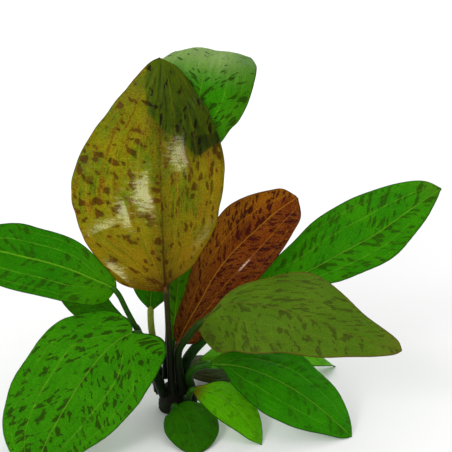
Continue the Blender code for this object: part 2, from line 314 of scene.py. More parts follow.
def half_width(outline, t):
    """Half-width of one side of the blade, on a smooth line through the outline's points."""
    points = [(-outline[0][0], -outline[0][1]), (0.0, 0.0), *outline, (1.0, 0.0),
              (2.0 - outline[-1][0], -outline[-1][1])]
    span = 1
    while points[span + 1][0] < t:
        span += 1
    before, start, end, after = points[span - 1:span + 3]
    length = end[0] - start[0]
    slope_in = (end[1] - before[1]) / (end[0] - before[0]) * length
    slope_out = (after[1] - start[1]) / (after[0] - start[0]) * length
    s = (t - start[0]) / length
    width = ((2 * s ** 3 - 3 * s ** 2 + 1) * start[1] + (s ** 3 - 2 * s ** 2 + s) * slope_in
             + (3 * s ** 2 - 2 * s ** 3) * end[1] + (s ** 3 - s ** 2) * slope_out)
    return max(width, LEAST_WIDTH)


def share_of_row(height):
    """Rows lie closer together towards the foot and the tip of the blade."""
    return 0.5 - 0.5 * math.cos(math.pi * min(max(height, 0.0), 1.0))


def row_direction(line, t, steady):
    """The way a row looks along the blade, evened out where the midrib turns sharply."""
    if not steady:
        return place_on(line, t)[1]
    back, ahead = (place_on(line, min(max(t + step, 0.0), 1.0))[0] for step in (-steady, steady))
    return (ahead - back).normalized()


def spread_blade(name, leaf):
    """A flat grid whose rows are carried onto the leaf's line and drawn out to its margins."""
    select()
    bpy.ops.mesh.primitive_grid_add(x_subdivisions=COLUMNS, y_subdivisions=ROWS, size=2.0)
    blade = start_piece(name)
    line = leaf_lines(leaf)[1]
    widest = max(width for share, width in leaf["left"] + leaf["right"])
    left_lobe, right_lobe = leaf["lobes"]
    bpy.ops.object.mode_set(mode="EDIT")
    grid = bmesh.from_edit_mesh(blade.data)
    rows = {}
    for vertex in grid.verts:
        rows.setdefault(round((vertex.co.y + 1) / 2, 4), []).append(vertex)
    for height, row in rows.items():
        t = share_of_row(height)
        point = place_on(line, t)[0]
        along = row_direction(line, t, leaf["steady"])
        out = facing(leaf, along, t)
        side = along.cross(out)
        rooted = max(1 - t / LOBE_REACH, 0.0) ** 2
        for vertex in row:
            across = vertex.co.x
            side_name = "right" if across > 0 else "left"
            reach = half_width(leaf[side_name], t)
            notch = noise.noise(Vector((height * ROWS * NOTCH_PACE, leaf["seed"], across > 0)))
            reach *= 1 - leaf["ruffle"] * abs(across) ** 6 * (0.5 + notch)
            lift = (leaf["edges"] * across ** 2 + leaf["fold"] * abs(across)) * reach / widest
            lobe = (right_lobe if across > 0 else left_lobe) * across ** 2 * rooted
            lobe *= min(reach / LOBE_WIDTH, 1.0)
            vertex.co = (point + side * across * reach - along * lobe + out * lift) * MM
    bmesh.update_edit_mesh(blade.data)
    bpy.ops.object.mode_set(mode="OBJECT")
    round_off(blade, leaf["smoothing"])
    return blade


def eased(share):
    """From 0 to 1 as the share does, starting and ending gently."""
    return share ** 2 * (3 - 2 * share)


def leaf_places(leaf, grid_places):
    """Where points of the blade's grid lie on the leaf, across and along it."""
    across = 2 * grid_places[:, 0] - 1
    t = 0.5 - 0.5 * np.cos(np.pi * grid_places[:, 1])
    steps = np.linspace(0, 1, WIDTH_STEPS)
    widths = {side: np.array([half_width(leaf[side], step) for step in steps])
              for side in ("left", "right")}
    width = np.where(across > 0, np.interp(t, steps, widths["right"]),
                     np.interp(t, steps, widths["left"]))
    fan = VEIN_FAN + (1 - VEIN_FAN) * eased(np.clip(t / VEIN_FAN_REACH, 0, 1))
    return SimpleNamespace(across=across, t=t, width=width, fan=fan, vein=across / fan,
                           x=across * width, y=t * line_length(leaf_lines(leaf)[1]))


def values_of(items, what, size, kind=np.float32):
    """What each vertex or face corner of a mesh holds, one row for each."""
    values = np.empty(len(items) * size, dtype=kind)
    items.foreach_get(what, values)
    return values.reshape(-1, size)


def corner_vertices(mesh):
    return values_of(mesh.loops, "vertex_index", 1, np.int32)[:, 0]


def grid_corners(mesh):
    """The place on the blade's grid of each face corner."""
    return values_of(mesh.uv_layers[0].data, "uv", 2)


def swelling(leaf, across, t):
    """How far the leaf's broad swellings lift its blade."""
    return sum(high * np.exp(-((across - middle) / wide) ** 2 - ((t - share) / long) ** 2)
               for middle, share, wide, long, high in leaf["swellings"])


def raise_relief(blade, leaf):
    """Sink the veins, swell the tissue between them and wave the margins."""
    mesh = blade.data
    at_vertex = np.zeros((len(mesh.vertices), 2), dtype=np.float32)
    at_vertex[corner_vertices(mesh)] = grid_corners(mesh)
    here = leaf_places(leaf, at_vertex)
    aside = np.abs(here.x)
    away = 1 - np.exp(-(aside / LEVEL_MIDDLE) ** 2)
    spring = np.clip(here.t * RISE_FROM_FOOT, 0, 1) * np.clip((1 - here.t) * FALL_TO_TIP, 0, 1)

    relief = -leaf["groove"] * np.exp(-(here.x / GROOVE_WIDTH) ** 2)
    for vein in leaf["veins"]:
        gap = (np.abs(here.vein) - vein) * here.fan * here.width
        relief -= SIDE_GROOVE * leaf["groove"] * spring * np.exp(-(gap / GROOVE_WIDTH) ** 2)
    cross = (here.y - leaf["slant"] * aside) / leaf["quilt_spacing"]
    relief += leaf["quilt"] * np.sin(2 * np.pi * cross) * away * spring

    margin = np.abs(here.across) ** 3
    phase = leaf["seed"] + np.where(here.across > 0, 0.0, MARGINS_APART)
    relief += leaf["wave"] * margin * np.sin(2 * np.pi * here.y / leaf["wave_length"] + phase)
    size = leaf["uneven_size"]
    uneven = [noise.noise(Vector((x / size, y / size, leaf["seed"] * UNEVEN_SEED)))
              for x, y in zip(here.x, here.y)]
    relief += leaf["uneven"] * np.array(uneven) * away * spring
    relief += swelling(leaf, here.across, here.t)

    places = values_of(mesh.vertices, "co", 3)
    normals = values_of(mesh.vertex_normals, "vector", 3)
    places += (normals * relief[:, None] * MM).astype(np.float32)
    mesh.vertices.foreach_set("co", places.ravel())
    mesh.update()


def thicken(blade, leaf):
    """Give the blade its back, in the last of its skins."""
    walls = blade.modifiers.new("walls", "SOLIDIFY")
    walls.thickness = leaf["thickness"] * MM
    walls.offset = -1.0
    walls.material_offset = len(blade.data.materials) - 1
    bpy.ops.object.modifier_apply(modifier=walls.name)


def write_map(mesh, name, across, along):
    layer = mesh.uv_layers.get(name) or mesh.uv_layers.new(name=name)
    values = np.stack([across, along], axis=1).astype(np.float32)
    layer.data.foreach_set("uv", values.ravel())


def map_blade(blade, leaf):
    """Keep each point's place on the leaf in the blade's maps, for the patterns to follow."""
    here = leaf_places(leaf, grid_corners(blade.data))
    write_map(blade.data, "veins", here.vein, here.t)
    write_map(blade.data, "surface", here.x, here.y)
    write_map(blade.data, "margin", (1 - np.abs(here.across)) * here.width, here.across)


def stalk_spine(leaf):
    """Points up the round stalk and on along the midrib, each with its radius and its share."""
    stalk_line, blade_line = leaf_lines(leaf)
    radius = leaf["stalk_width"] / 2
    spine = []
    root_out = facing(leaf, place_on(blade_line, 0.0)[1], 0.0)
    for index in range(STALK_STEPS):
        share = index / STALK_STEPS
        point = place_on(stalk_line, share)[0] - root_out * leaf["tuck"] * share ** 4
        spine.append((point, radius * (1 + SHEATH_SWELL * (1 - share) ** 2), share - 1))
    for index in range(RIB_STEPS + 1):
        t = RIB_END * (index / RIB_STEPS) ** RIB_CROWDING
        point, along = place_on(blade_line, t)
        thinned = RIB_SHARE + (1 - RIB_SHARE) * math.exp(-t / RIB_NARROWS_BY)
        size = max(radius * thinned * (1 - t) ** RIB_TAPER, RIB_RADIUS)
        sunk = eased(min(t / RIB_SINKS_BY, 1.0))
        covered = size + leaf["groove"] + RIB_COVER - swelling(leaf, 0.0, t)
        depth = float(leaf["tuck"] * (1 - sunk) + covered * sunk)
        spine.append((point - facing(leaf, along, t) * depth, size, t))
    return spine


def draw_stalk(name, leaf):
    """The round stalk, widening into a sheath at its foot, and the midrib behind the blade."""
    spine = stalk_spine(leaf)
    curve = bpy.data.curves.new(name + "_stalk", "CURVE")
    curve.dimensions = "3D"
    curve.bevel_depth = MM
    curve.bevel_resolution = STALK_SIDES
    curve.use_fill_caps = True
    spline = curve.splines.new("POLY")
    spline.points.add(len(spine) - 1)
    for knot, (point, size, share) in zip(spline.points, spine):
        knot.co = (*(point * MM), 1.0)
        knot.radius = size
    stalk = bpy.data.objects.new(name + "_stalk", curve)
    bpy.context.collection.objects.link(stalk)
    select(stalk)
    bpy.ops.object.convert(target="MESH")
    stalk = bpy.context.object
    map_stalk(stalk.data, spine)
    return stalk


def map_stalk(mesh, spine):
    """Keep the share of the way along the leaf at each point of the stalk."""
    places = values_of(mesh.vertices, "co", 3)
    knots = np.array([point * MM for point, size, share in spine])
    shares = np.array([share for point, size, share in spine])
    gaps = ((places[:, None] - knots[None]) ** 2).sum(axis=2)
    along = shares[gaps.argmin(axis=1)][corner_vertices(mesh)]
    while mesh.uv_layers:
        mesh.uv_layers.remove(mesh.uv_layers[0])
    for name in ("UVMap", "veins", "surface", "margin"):
        write_map(mesh, name, np.full(len(along), 0.5), along)


def grow_leaf(name, leaf, looks, stalk_skin):
    """One leaf, its blade and its stalk joined in one piece; a second look is for its back."""
    blade = spread_blade(name, leaf)
    raise_relief(blade, leaf)
    for look in looks:
        blade.data.materials.append(leaf_skin(name + " skin", look))
    thicken(blade, leaf)
    map_blade(blade, leaf)
    stalk = draw_stalk(name, leaf)
    stalk.data.materials.append(stalk_skin)
    select(stalk, blade)
    bpy.ops.object.join()
    for vertex in blade.data.vertices:
        vertex.co.z = max(vertex.co.z, 0.0)
    bpy.ops.object.shade_smooth_by_angle(angle=math.radians(SMOOTH_ANGLE))
    return blade


def map_values(paint, name):
    """The two values that one of the leaf's maps holds."""
    return paint.add("SeparateXYZ", {0: paint.add("UVMap", uv_map=name).outputs[0]}).outputs


def by_half(paint, at, left, right):
    """One value on the left half of the blade and another on the right half."""
    return paint.scaled(at.on_left, left - right, right)


def blade_places(paint, look):
    """Where a point lies on its leaf, with the broad and fine grain of the tissue there."""
    veins, surface, margin = (map_values(paint, name) for name in ("veins", "surface", "margin"))
    at = SimpleNamespace(vein=veins[0], share=veins[1], x=surface[0], y=surface[1],
                         inward=margin[0], across=margin[1])
    at.own = paint.place(at.x, paint.plus(at.y, look["seed"] * SEEDS_APART))
    at.broad = paint.grain(at.own, 0.06, 3.0)
    at.flecks = paint.grain(at.own, 1.1, 3.0, 0.8)
    lengthwise = paint.place(paint.times(at.vein, 13.0), paint.times(at.y, 0.07))
    at.fibres = paint.grain(lengthwise, 1.0, 5.0, 0.75)

    # Cross veins slant from the midrib to the margin, and each half has its own
    at.on_left = paint.maths("LESS_THAN", at.x, 0.0)
    at.aside = paint.maths("ABSOLUTE", at.x)
    sway = paint.times(paint.grain(at.own, 0.22, 2.0), NET_SWAY)
    back = paint.times(at.aside, by_half(paint, at, *look["slants"]))
    at.slanted = paint.plus(paint.maths("SUBTRACT", at.y, back),
                            paint.scaled(at.on_left, HALVES_APART, sway))
    at.swayed = paint.plus(at.aside, sway)
    return at


def net_of_veinlets(paint, at, cell):
    """The net's meshes: each one's own chance, the place of its middle and the way to its edge."""
    (left_long, left_short), (right_long, right_short) = cell
    place = paint.place(
        paint.times(at.swayed, by_half(paint, at, 1 / left_long, 1 / right_long)),
        paint.times(at.slanted, by_half(paint, at, 1 / left_short, 1 / right_short)))
    cells = paint.add("TexVoronoi", {"Vector": place, "Scale": 1.0}, voronoi_dimensions="2D")
    edges = paint.add("TexVoronoi", {"Vector": place, "Scale": 1.0}, voronoi_dimensions="2D",
                      feature="DISTANCE_TO_EDGE").outputs["Distance"]
    chance = paint.add("SeparateColor", {0: cells.outputs["Color"]}).outputs[0]
    return chance, cells.outputs["Position"], edges


def blotch_pattern(paint, at, look):
    """Blotches that fill meshes of the net in clusters, and the edges of its smallest meshes."""
    blotch = 0.0
    for cell, cluster, threshold in look["blotches"]:
        chance, middle, edges = net_of_veinlets(paint, at, cell)
        chosen = paint.plus(paint.grain(middle, cluster, 1.0), paint.times(chance, 0.25))
        for low, high, more in look["blotch_zones"]:
            chosen = paint.plus(chosen, paint.times(paint.step(at.share, low, high), more))
        filled = paint.times(paint.step(chosen, threshold, threshold + 0.02),
                             paint.step(edges, -0.04, 0.06))
        blotch = paint.maths("MAXIMUM", blotch, filled)
    return paint.times(blotch, paint.step(at.inward, 0.5, 1.6)), edges


def vein_pattern(paint, at, look):
    """The midrib's line, and the main veins' thin lines of uneven strength."""
    rib = paint.step(at.aside, look["rib_width"], look["rib_width"] * 0.4)
    rib = paint.times(rib, paint.step(at.share, *look["rib_fades"]))
    lines = 0.0
    for place, strength in look["veins"]:
        gap = paint.maths("SUBTRACT", paint.maths("ABSOLUTE", at.vein), place)
        line = paint.step(paint.maths("ABSOLUTE", gap), 0.02, 0.005)
        lines = paint.maths("MAXIMUM", lines, paint.times(line, strength))
    patchy = paint.step(paint.grain(at.own, 0.12, 2.0), 0.3, 0.6)
    return rib, paint.times(lines, paint.scaled(patchy, 0.7, 0.3))


def tissue_colour(paint, at, look):
    """Two colours in broad patches, streaks and fibres, and tints towards one side or end."""
    streaky = paint.place(paint.times(at.aside, look["streak_size"][0]),
                          paint.times(at.slanted, look["streak_size"][1]))
    streaks = paint.step(paint.grain(streaky, 1.0, 3.0, 0.6), 0.4, 0.68)
    colour = paint.mix(paint.step(at.broad, 0.35, 0.65), look["main"], look["second"])
    colour = paint.lay(colour, look["streak"], streaks, 0.6)
    colour = paint.lay(colour, look["streak"], paint.step(at.fibres, 0.46, 0.62), look["fibres"])
    for axis, low, high, strength, tint in look["tints"]:
        unsure = paint.times(paint.maths("SUBTRACT", at.broad, 0.5), 0.35 * abs(high - low))
        there = paint.step(paint.plus(getattr(at, axis), unsure), low, high)
        colour = paint.lay(colour, tint, there, strength)
    return colour


def beyond_border(paint, at, border):
    """1 on one side of a straight border that wavers a little, which a place and a turn give."""
    (border_x, border_y), turn = border
    right, up = math.cos(math.radians(turn)), math.sin(math.radians(turn))
    inside = paint.scaled(at.x, right, -border_x * right - border_y * up)
    inside = paint.scaled(at.y, up, inside)
    inside = paint.plus(inside, paint.scaled(at.broad, 3.0, -1.5))
    return paint.step(inside, -0.3, 0.6)


def add_painted_shadows(paint, at, look, colour, blotch):
    """Painted shadow: dark patches where the leaf close behind blocks the light shining through
    this one, the blotches darker still.
    """
    for tint, strength, borders in look["painted_shadows"]:
        there = strength
        for border in borders:
            there = paint.times(there, beyond_border(paint, at, border))
        colour = paint.mix(there, colour, paint.mix(blotch, tint, look["blotch_in_painted_shadow"]))
    return colour


def add_painted_glints(paint, at, look, colour):
    """Painted glints: patches of painted highlight on the blade, sharp on one side, ragged on the
    other.
    """
    sparks = paint.grain(at.own, 1.3, 3.0, 0.8)
    streaky = paint.place(paint.times(at.x, 0.16), paint.times(at.y, 0.6))
    ragged = paint.scaled(paint.grain(streaky, 1.0, 5.0, 0.7), 2.0, -1.0)
    bend = paint.scaled(paint.grain(at.own, 0.07, 1.0), 0.5, -0.25)
    for middle, turn, breadth, length, strength in look["painted_glints"]:
        local = paint.add("Mapping", {
            "Vector": paint.place(at.x, at.y), "Location": (*middle, 0.0),
            "Rotation": (0.0, 0.0, math.radians(turn)), "Scale": (breadth, length, 1.0)},
            vector_type="TEXTURE")
        local = paint.add("SeparateXYZ", {0: local.outputs[0]})
        beside = paint.plus(local.outputs[0], bend)
        lengthwise = local.outputs[1]
        away = paint.maths("SQRT", paint.scaled(beside, beside,
                                                paint.times(lengthwise, lengthwise)))
        glint_patch = paint.step(paint.plus(away, ragged), 1.1, 0.1)
        glint_patch = paint.times(paint.times(glint_patch, paint.step(beside, 0.16, -0.06)), strength)
        # Painted highlight: bright glints where the sparks pass, over a painted sheen on the whole
        # patch
        lit = paint.times(paint.step(paint.scaled(glint_patch, 0.45, sparks), 0.7, 0.99),
                          paint.step(glint_patch, 0.0, 0.3))
        colour = paint.lay(colour, look["painted_sheen"], glint_patch, 0.4)
        colour = paint.mix(lit, colour, look["painted_glint_colour"])
    return colour


def leaf_skin(name, look):
    """The skin of a blade: main veins, a net of veinlets, and blotches that fill its meshes."""
    paint = Paint(name)
    at = blade_places(paint, look)
    blotch, edges = blotch_pattern(paint, at, look)
    rib, lines = vein_pattern(paint, at, look)
    cross = paint.maths("PINGPONG", paint.maths("DIVIDE", at.slanted, look["cross_spacing"]), 0.5)
    cross = paint.times(paint.step(cross, 0.06, 0.0), 0.5)
    net = paint.maths("MAXIMUM", paint.step(edges, 0.1, 0.02), cross)

    colour = tissue_colour(paint, at, look)
    colour = paint.lay(colour, look["veinlet"], net, look["net"])
    colour = paint.lay(colour, look["veinlet"], paint.step(at.flecks, 0.55, 0.8), look["flecks"])
    colour = paint.lay(colour, look["blotch"], blotch, look["blotch_strength"])
    colour = add_painted_shadows(paint, at, look, colour, blotch)
    colour = paint.lay(colour, look["line"], lines, look["line_strength"])
    colour = paint.lay(colour, look["rib"], rib, look["line_strength"])
    colour = paint.lay(colour, look["rim"], paint.step(at.inward, 0.75, 0.15), 0.8)
    brightness = paint.scaled(at.flecks, 2.0 * look["mottle"],
                              1.0 - look["mottle"] - look["drawn"])
    brightness = paint.scaled(at.fibres, 2.0 * look["drawn"], brightness)
    colour = paint.add("VectorMath", {0: colour, "Scale": brightness},
                       operation="SCALE").outputs[0]
    colour = add_painted_glints(paint, at, look, colour)

    height = paint.plus(paint.times(paint.step(edges, 0.0, 0.3), 0.7),
                        paint.times(at.flecks, look["grain"]))
    height = paint.maths("SUBTRACT", height, paint.maths("MAXIMUM", rib, lines))
    normal = paint.bump(height, look["bump"], 0.12)
    face = paint.add("BsdfPrincipled", {
        "Base Color": colour, "Roughness": look["roughness"],
        "Specular IOR Level": look["shine"], "Normal": normal})
    # Light that shines through crosses both walls of the blade, so each takes half its colour
    wall_colour = paint.add("Gamma", {"Color": colour, "Gamma": WALL_SHARE}).outputs[0]
    through = paint.add("BsdfTranslucent", {"Color": wall_colour, "Normal": normal})
    return paint.finish(paint.add("MixShader", {
        0: look["through"], 1: face.outputs[0], 2: through.outputs[0]}))


def stalk_skin(name, foot, top, rib, blush):
    """Smooth stalk skin that changes from a near-black foot, painted shade where the stalks crowd
    at the crown, to the blade and on along the midrib.
    """
    paint = Paint(name)
    share = map_values(paint, "veins")[1]
    place = paint.add("TexCoord").outputs["Object"]
    mottle = paint.step(paint.grain(place, 420.0, 3.0), 0.45, 0.65)
    fine = paint.grain(place, 2600.0, 2.0)
    # The dark foot colour is painted shade of the crowded crown
    colour = paint.mix(paint.step(share, -0.75, -0.05), foot, top)
    colour = paint.mix(paint.step(share, -0.02, 0.05), colour, rib)
    colour = paint.lay(colour, blush, mottle, 0.5)
    return paint.finish(paint.add("BsdfPrincipled", {
        "Base Color": colour, "Roughness": 0.4, "Specular IOR Level": 0.08,
        "Normal": paint.bump(fine, 0.5, 0.1)}))


# blotches: a mesh's length and breadth on the left and the right half, how finely they
# cluster, and a threshold. tints: along what, from, to, strength, colour. painted shadows:
# colour, strength, straight borders. painted glints: middle, turn, breadth, length, strength.
OLIVE_LOOK = dict(
    seed=1.0, slants=(0.25, 0.25),
    blotches=[(((4.6, 3.4), (1.6, 5.0)), 1.1, 0.785), (((2.2, 1.8), (1.0, 3.0)), 0.5, 0.79)],
    blotch_zones=[(0.24, 0.4, 0.02), (0.7, 0.85, -0.05)], blotch_strength=0.85,
    blotch=ink(84, 42, 3),
    main=ink(160, 158, 6), second=ink(112, 144, 6), streak=ink(92, 56, 2),
    streak_size=(0.5, 2.2), mottle=0.8, drawn=2.0, fibres=1.0,
    veinlet=ink(180, 168, 26), net=0.35, flecks=0.35, cross_spacing=5.5,
    line=ink(168, 132, 18), rib=ink(74, 44, 2), line_strength=0.7, rib_width=0.7,
    rib_fades=(0.42, 0.1), veins=[(0.26, 0.5), (0.56, 0.4), (0.82, 0.5)], rim=ink(56, 40, 6),
    # Painted shadow where the top green leaf lies close behind and blocks the light through this
    # one, darkest at the lower right
    painted_shadows=[(ink(80, 104, 2), 0.92, [((-8, 110), 0), ((-4, 98), 50), ((19.7, 77.5), 120)]),
            (ink(34, 42, 4), 0.6, [((16, 89), 10), ((16, 89), -80), ((19.7, 77.5), 120)])],
    blotch_in_painted_shadow=ink(34, 36, 4),
    tints=[("share", 0.42, 0.1, 0.5, ink(158, 112, 6)),
           ("across", 0.3, 1.0, 0.5, ink(150, 108, 8)),
           ("aside", 9.0, 1.0, 0.4, ink(84, 60, 3)),
           ("share", 0.12, 0.0, 0.85, ink(88, 48, 3))],
    # Painted highlights: silvery glints on the rumpled left half and the upper right
    painted_glints=[((-5.0, 58.0), 4, 19.0, 19.0, 1.0), ((-18.5, 47.0), 19, 9.0, 15.0, 1.0),
            ((-31.0, 38.5), -64, 8.0, 17.0, 0.85), ((-28.5, 13.0), -131, 7.0, 14.0, 1.0),
            ((13.5, 80.0), 4, 15.0, 17.0, 0.85), ((23.0, 32.0), -30, 7.0, 19.0, 0.55)],
    painted_sheen=ink(196, 188, 92), painted_glint_colour=ink(255, 255, 240), grain=0.9, bump=0.7,
    roughness=0.34, shine=0.2, through=0.8)

brown_stalk = stalk_skin("brown stalk skin", ink(10, 17, 3), ink(40, 40, 5),
                         ink(108, 76, 10), ink(26, 18, 4))
# Its back has no painted glints, but keeps the same painted shadow
OLIVE_BACK_LOOK = dict(OLIVE_LOOK, painted_glints=[], line=ink(190, 176, 60), bump=0.5)

piece = grow_leaf("broad_olive_leaf", BROAD, [OLIVE_LOOK, OLIVE_BACK_LOOK], brown_stalk)
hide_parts("leaf_olive_broad")
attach(piece, "root")


# The top green leaf
# A broad green leaf close behind the olive one, bent away over the top. Its upper half turns
# up to the light, and its paleness there is painted sheen; dark streaks lie across its middle.
TOP = dict(
    BROAD, smoothing=2, seed=2.0,
    stalk=[(-4.2, 2.6, 18.6), (-3.6, 2.2, 30), (-2, 1, 47), (-2, -3, 80), (2, -6, 115)],
    blade=[(15, -5, 154), (16, -3, 171), (17, 2, 186), (19, 10, 197.5), (21.6, 24, 203),
           (25, 41, 202), (28, 57, 194), (30, 70, 181)],
    left=[(0.05, 12), (0.18, 26), (0.3, 30), (0.43, 28), (0.6, 22), (0.8, 15), (0.93, 8)],
    right=[(0.05, 10), (0.11, 17), (0.2, 23), (0.32, 27), (0.45, 27.5), (0.6, 25), (0.8, 15),
           (0.93, 8)],
    edges=-5, tip_faces=(0, 0.3, 1), stalk_width=2.6, veins=(0.48, 0.8), quilt=0.06, wave=0.7,
    wave_length=30, uneven=0.8, ruffle=0.006,
    swellings=[(-0.42, 0.56, 0.3, 0.2, 1.6), (0.05, 0.56, 0.25, 0.2, -0.8)])
GREEN_LOOK = dict(
    seed=2.0, slants=(0.7, 0.7),
    blotches=[(((4.4, 2.8), (4.4, 2.8)), 0.5, 0.765), (((2.0, 1.3), (2.0, 1.3)), 0.3, 0.77)],
    blotch_zones=[], blotch_strength=0.9, blotch=ink(42, 72, 4),
    main=ink(46, 136, 0), second=ink(60, 148, 0), streak=ink(36, 112, 0),
    streak_size=(0.5, 2.2), mottle=0.7, drawn=0.6, fibres=0.2,
    veinlet=ink(92, 166, 20), net=0.25, flecks=0.15, cross_spacing=6.5,
    line=ink(112, 176, 30), rib=ink(118, 178, 34), line_strength=0.75, rib_width=0.45,
    rib_fades=(1.1, 0.9), veins=[(0.48, 0.75), (0.8, 0.3)], rim=ink(22, 46, 4),
    painted_shadows=[], blotch_in_painted_shadow=ink(26, 32, 4),
    tints=[("share", 0.12, 0.0, 0.5, ink(36, 92, 0))], painted_glints=[],
    grain=0.5, bump=0.6, roughness=0.42, shine=0.05, through=0.5)
TOP_LOOK = dict(
    GREEN_LOOK, blotch_zones=[(0.34, 0.44, -0.09)],
    blotches=[(((3.4, 1.7), (3.4, 1.7)), 0.4, 0.745), (((1.6, 0.9), (1.6, 0.9)), 0.3, 0.75)],
    # Painted sheen: the upper half paler where it turns up to the light
    tints=[("share", 0.3, 0.52, 0.8, ink(146, 172, 92)),
           ("across", 0.25, 0.9, 0.75, ink(64, 122, 10)),
           ("share", 0.12, 0.0, 0.5, ink(40, 92, 0))])

green_stalk = stalk_skin("green stalk skin", ink(8, 17, 2), ink(30, 72, 4),
                         ink(48, 116, 6), ink(20, 46, 3))
piece = grow_leaf("top_green_leaf", TOP, [TOP_LOOK], green_stalk)
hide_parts("leaf_green_top")
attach(piece, "root")


# The front left leaf
# A wide bright green leaf whose stalk bends over, so that the blade hangs to the ground. The
# stalk sinks in between two lobes of the blade, one of them large.
FRONT_LEFT = dict(
    TOP, seed=3.0,
    stalk=[(-4.6, -7.4, 13), (-9, -12.5, 28), (-12.8, -15.2, 42), (-16, -16.2, 54.5)],
    blade=[(-21, -18.2, 56.4), (-28, -21.2, 54), (-34.6, -26, 49.8), (-42.5, -32, 42.3),
           (-51, -41, 32.3), (-58.4, -52, 22.4), (-65, -63.5, 13), (-71, -76.5, 0.3)],
    left=[(0.01, 8), (0.02, 16), (0.04, 21), (0.07, 25), (0.15, 31), (0.22, 33.5), (0.38, 35),
          (0.6, 31), (0.8, 21), (0.94, 9)],
    right=[(0.03, 13), (0.12, 27), (0.25, 36), (0.42, 38), (0.6, 36), (0.75, 31), (0.88, 20),
           (0.96, 10)],
    edges=-2, lobes=(18, 3), faces=(-0.2, -0.75, 0.65), tip_faces=(0, -0.2, 1), stalk_width=4,
    tuck=3, veins=(0.5, 0.8), groove=0.4, swellings=())
FRONT_LEFT_LOOK = dict(
    GREEN_LOOK, seed=3.0, tints=[],
    main=ink(56, 142, 0), second=ink(66, 152, 0),
    blotches=[(((3.2, 2.9), (3.2, 2.9)), 0.7, 0.765), (((1.4, 1.2), (1.4, 1.2)), 0.3, 0.765)])

piece = grow_leaf("front_left_leaf", FRONT_LEFT, [FRONT_LEFT_LOOK], green_stalk)
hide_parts("leaf_green_front_left")
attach(piece, "root")


# The inner leaf
# A narrow young leaf, held upright between the olive leaf and the red one, its tissue still
# plain and soft green.
SLIM = dict(FRONT_LEFT, lobes=(0, 0), tuck=0, tip_faces=None)
INNER = dict(
    SLIM, seed=4.0,
    stalk=[(1.5, 8.4, 13), (0.4, 8.7, 22)],
    blade=[(0.2, 12, 38), (1.5, 15, 54), (3.3, 18, 70), (5.7, 21, 90), (9.2, 25, 110),
           (13.2, 30, 129)],
    left=[(0.1, 3), (0.25, 7), (0.45, 13), (0.65, 14), (0.85, 8)],
    right=[(0.1, 4), (0.2, 6), (0.32, 8), (0.45, 10), (0.55, 12), (0.7, 12), (0.88, 6)],
    edges=2, faces=(0, -1, 0.2), stalk_width=3.4, uneven=0.4, wave=0.3)
INNER_LOOK = dict(GREEN_LOOK, seed=4.0, main=ink(64, 124, 0), second=ink(72, 132, 0))

piece = grow_leaf("inner_leaf", INNER, [INNER_LOOK], green_stalk)
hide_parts("leaf_green_inner")
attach(piece, "root")


# The red leaf
# A young leaf with little green in it yet: orange-red with maroon spots, golden along the
# middle, and rolled at its edges near the foot.
RED = dict(
    SLIM, seed=5.0,
    stalk=[(3.8, 0.3, 18.6), (2.9, 0.8, 29)],
    blade=[(3.5, 2, 40), (9.3, 3, 53.4), (16.1, 4, 65.3), (24.1, 6, 80.3), (34.7, 8, 94),
           (47.6, 11, 106), (58.1, 13, 115.4), (70.4, 15, 124)],
    left=[(0.05, 5), (0.25, 10), (0.45, 14.5), (0.66, 20.5), (0.8, 18.5), (0.92, 11.5), (0.97, 8)],
    right=[(0.03, 8), (0.07, 10.5), (0.15, 12), (0.25, 13.5), (0.5, 20), (0.63, 20.5), (0.8, 17),
           (0.92, 13), (0.97, 9)],
    edges=3, faces=(0.1, -0.95, 0.3), stalk_width=3, veins=(0.45, 0.78), groove=0.45)
RED_LOOK = dict(
    GREEN_LOOK, seed=5.0, slants=(0.9, 0.9),
    blotches=[(((2.0, 1.6), (2.0, 1.4)), 0.4, 0.755), (((1.1, 0.8), (1.1, 0.8)), 0.3, 0.765)],
    blotch_zones=[(0.35, 0.6, 0.03)], blotch_strength=0.95, blotch=ink(56, 6, 1),
    main=ink(134, 60, 0), second=ink(104, 26, 0), streak=ink(84, 14, 1), mottle=1.2, drawn=1.2,
    fibres=0.5, veinlet=ink(196, 130, 12), net=0.5, flecks=0.5, cross_spacing=4.0,
    line=ink(190, 124, 14), rib=ink(200, 136, 18), rib_width=0.4,
    veins=[(0.45, 0.7), (0.78, 0.3)], rim=ink(56, 18, 2),
    tints=[("across", -0.1, -0.7, 0.6, ink(150, 96, 4)),
           ("across", 0.2, 1.0, 0.5, ink(96, 22, 1)),
           ("share", 0.66, 0.25, 0.75, ink(72, 16, 1)),
           ("share", 0.36, 0.05, 0.7, ink(44, 12, 2))],
    # Painted highlight: a thin glint along a fold near the right margin
    painted_glints=[((10.0, 62.0), 0, 1.6, 10.0, 0.9)], painted_sheen=ink(190, 110, 60),
    painted_glint_colour=ink(250, 226, 200), grain=0.9, bump=0.8, roughness=0.38, shine=0.1)

red_stalk = stalk_skin("red stalk skin", ink(22, 14, 3), ink(88, 36, 8), ink(140, 76, 14),
                       ink(64, 20, 5))
piece = grow_leaf("red_leaf", RED, [RED_LOOK], red_stalk)
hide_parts("leaf_red")
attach(piece, "root")


